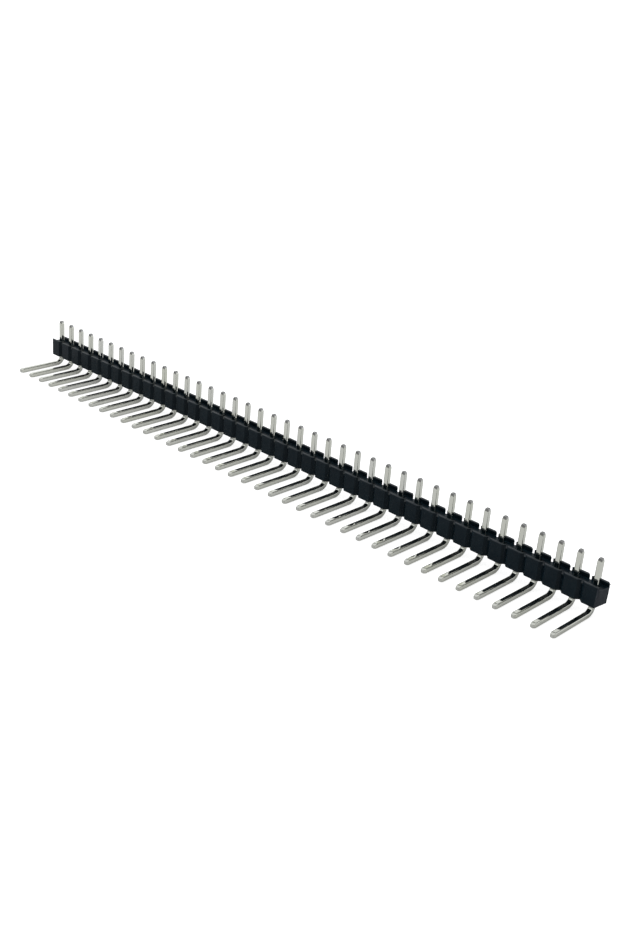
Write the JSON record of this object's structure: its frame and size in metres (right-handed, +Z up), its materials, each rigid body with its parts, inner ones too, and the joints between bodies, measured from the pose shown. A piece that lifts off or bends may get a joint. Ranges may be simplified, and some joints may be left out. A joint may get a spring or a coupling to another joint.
{
  "type": "pin header strip",
  "caption": "Right-angle pin header strip: square tin-plated pins bent at 90 degrees in a black snap-apart housing with V-notched octagonal cells.",
  "frame": {"origin": "centre of the strip's bounding box in plan, on the surface that the bent legs rest on", "axes": "+X along the row of pins from pin 1 to the last pin, +Z up along the straight tails and out of the board-side face of the housing, -Y the way the bent legs point"},
  "size_m": [0.1016, 0.009, 0.0071],
  "materials": {
    "housing_plastic": "black glass-filled polyester, semi-matt as moulded",
    "pin_metal": "brass wire with bright tin plating"
  },
  "bodies": {
    "root": {"housing": "housing_plastic", "pin_01": "pin_metal", "pin_02": "pin_metal", "pin_03": "pin_metal", "pin_04": "pin_metal", "pin_05": "pin_metal", "pin_06": "pin_metal", "pin_07": "pin_metal", "pin_08": "pin_metal", "pin_09": "pin_metal", "pin_10": "pin_metal", "pin_11": "pin_metal", "pin_12": "pin_metal", "pin_13": "pin_metal", "pin_14": "pin_metal", "pin_15": "pin_metal", "pin_16": "pin_metal", "pin_17": "pin_metal", "pin_18": "pin_metal", "pin_19": "pin_metal", "pin_20": "pin_metal", "pin_21": "pin_metal", "pin_22": "pin_metal", "pin_23": "pin_metal", "pin_24": "pin_metal", "pin_25": "pin_metal", "pin_26": "pin_metal", "pin_27": "pin_metal", "pin_28": "pin_metal", "pin_29": "pin_metal", "pin_30": "pin_metal", "pin_31": "pin_metal", "pin_32": "pin_metal", "pin_33": "pin_metal", "pin_34": "pin_metal", "pin_35": "pin_metal", "pin_36": "pin_metal", "pin_37": "pin_metal", "pin_38": "pin_metal", "pin_39": "pin_metal", "pin_40": "pin_metal"}
  },
  "joints": []
}
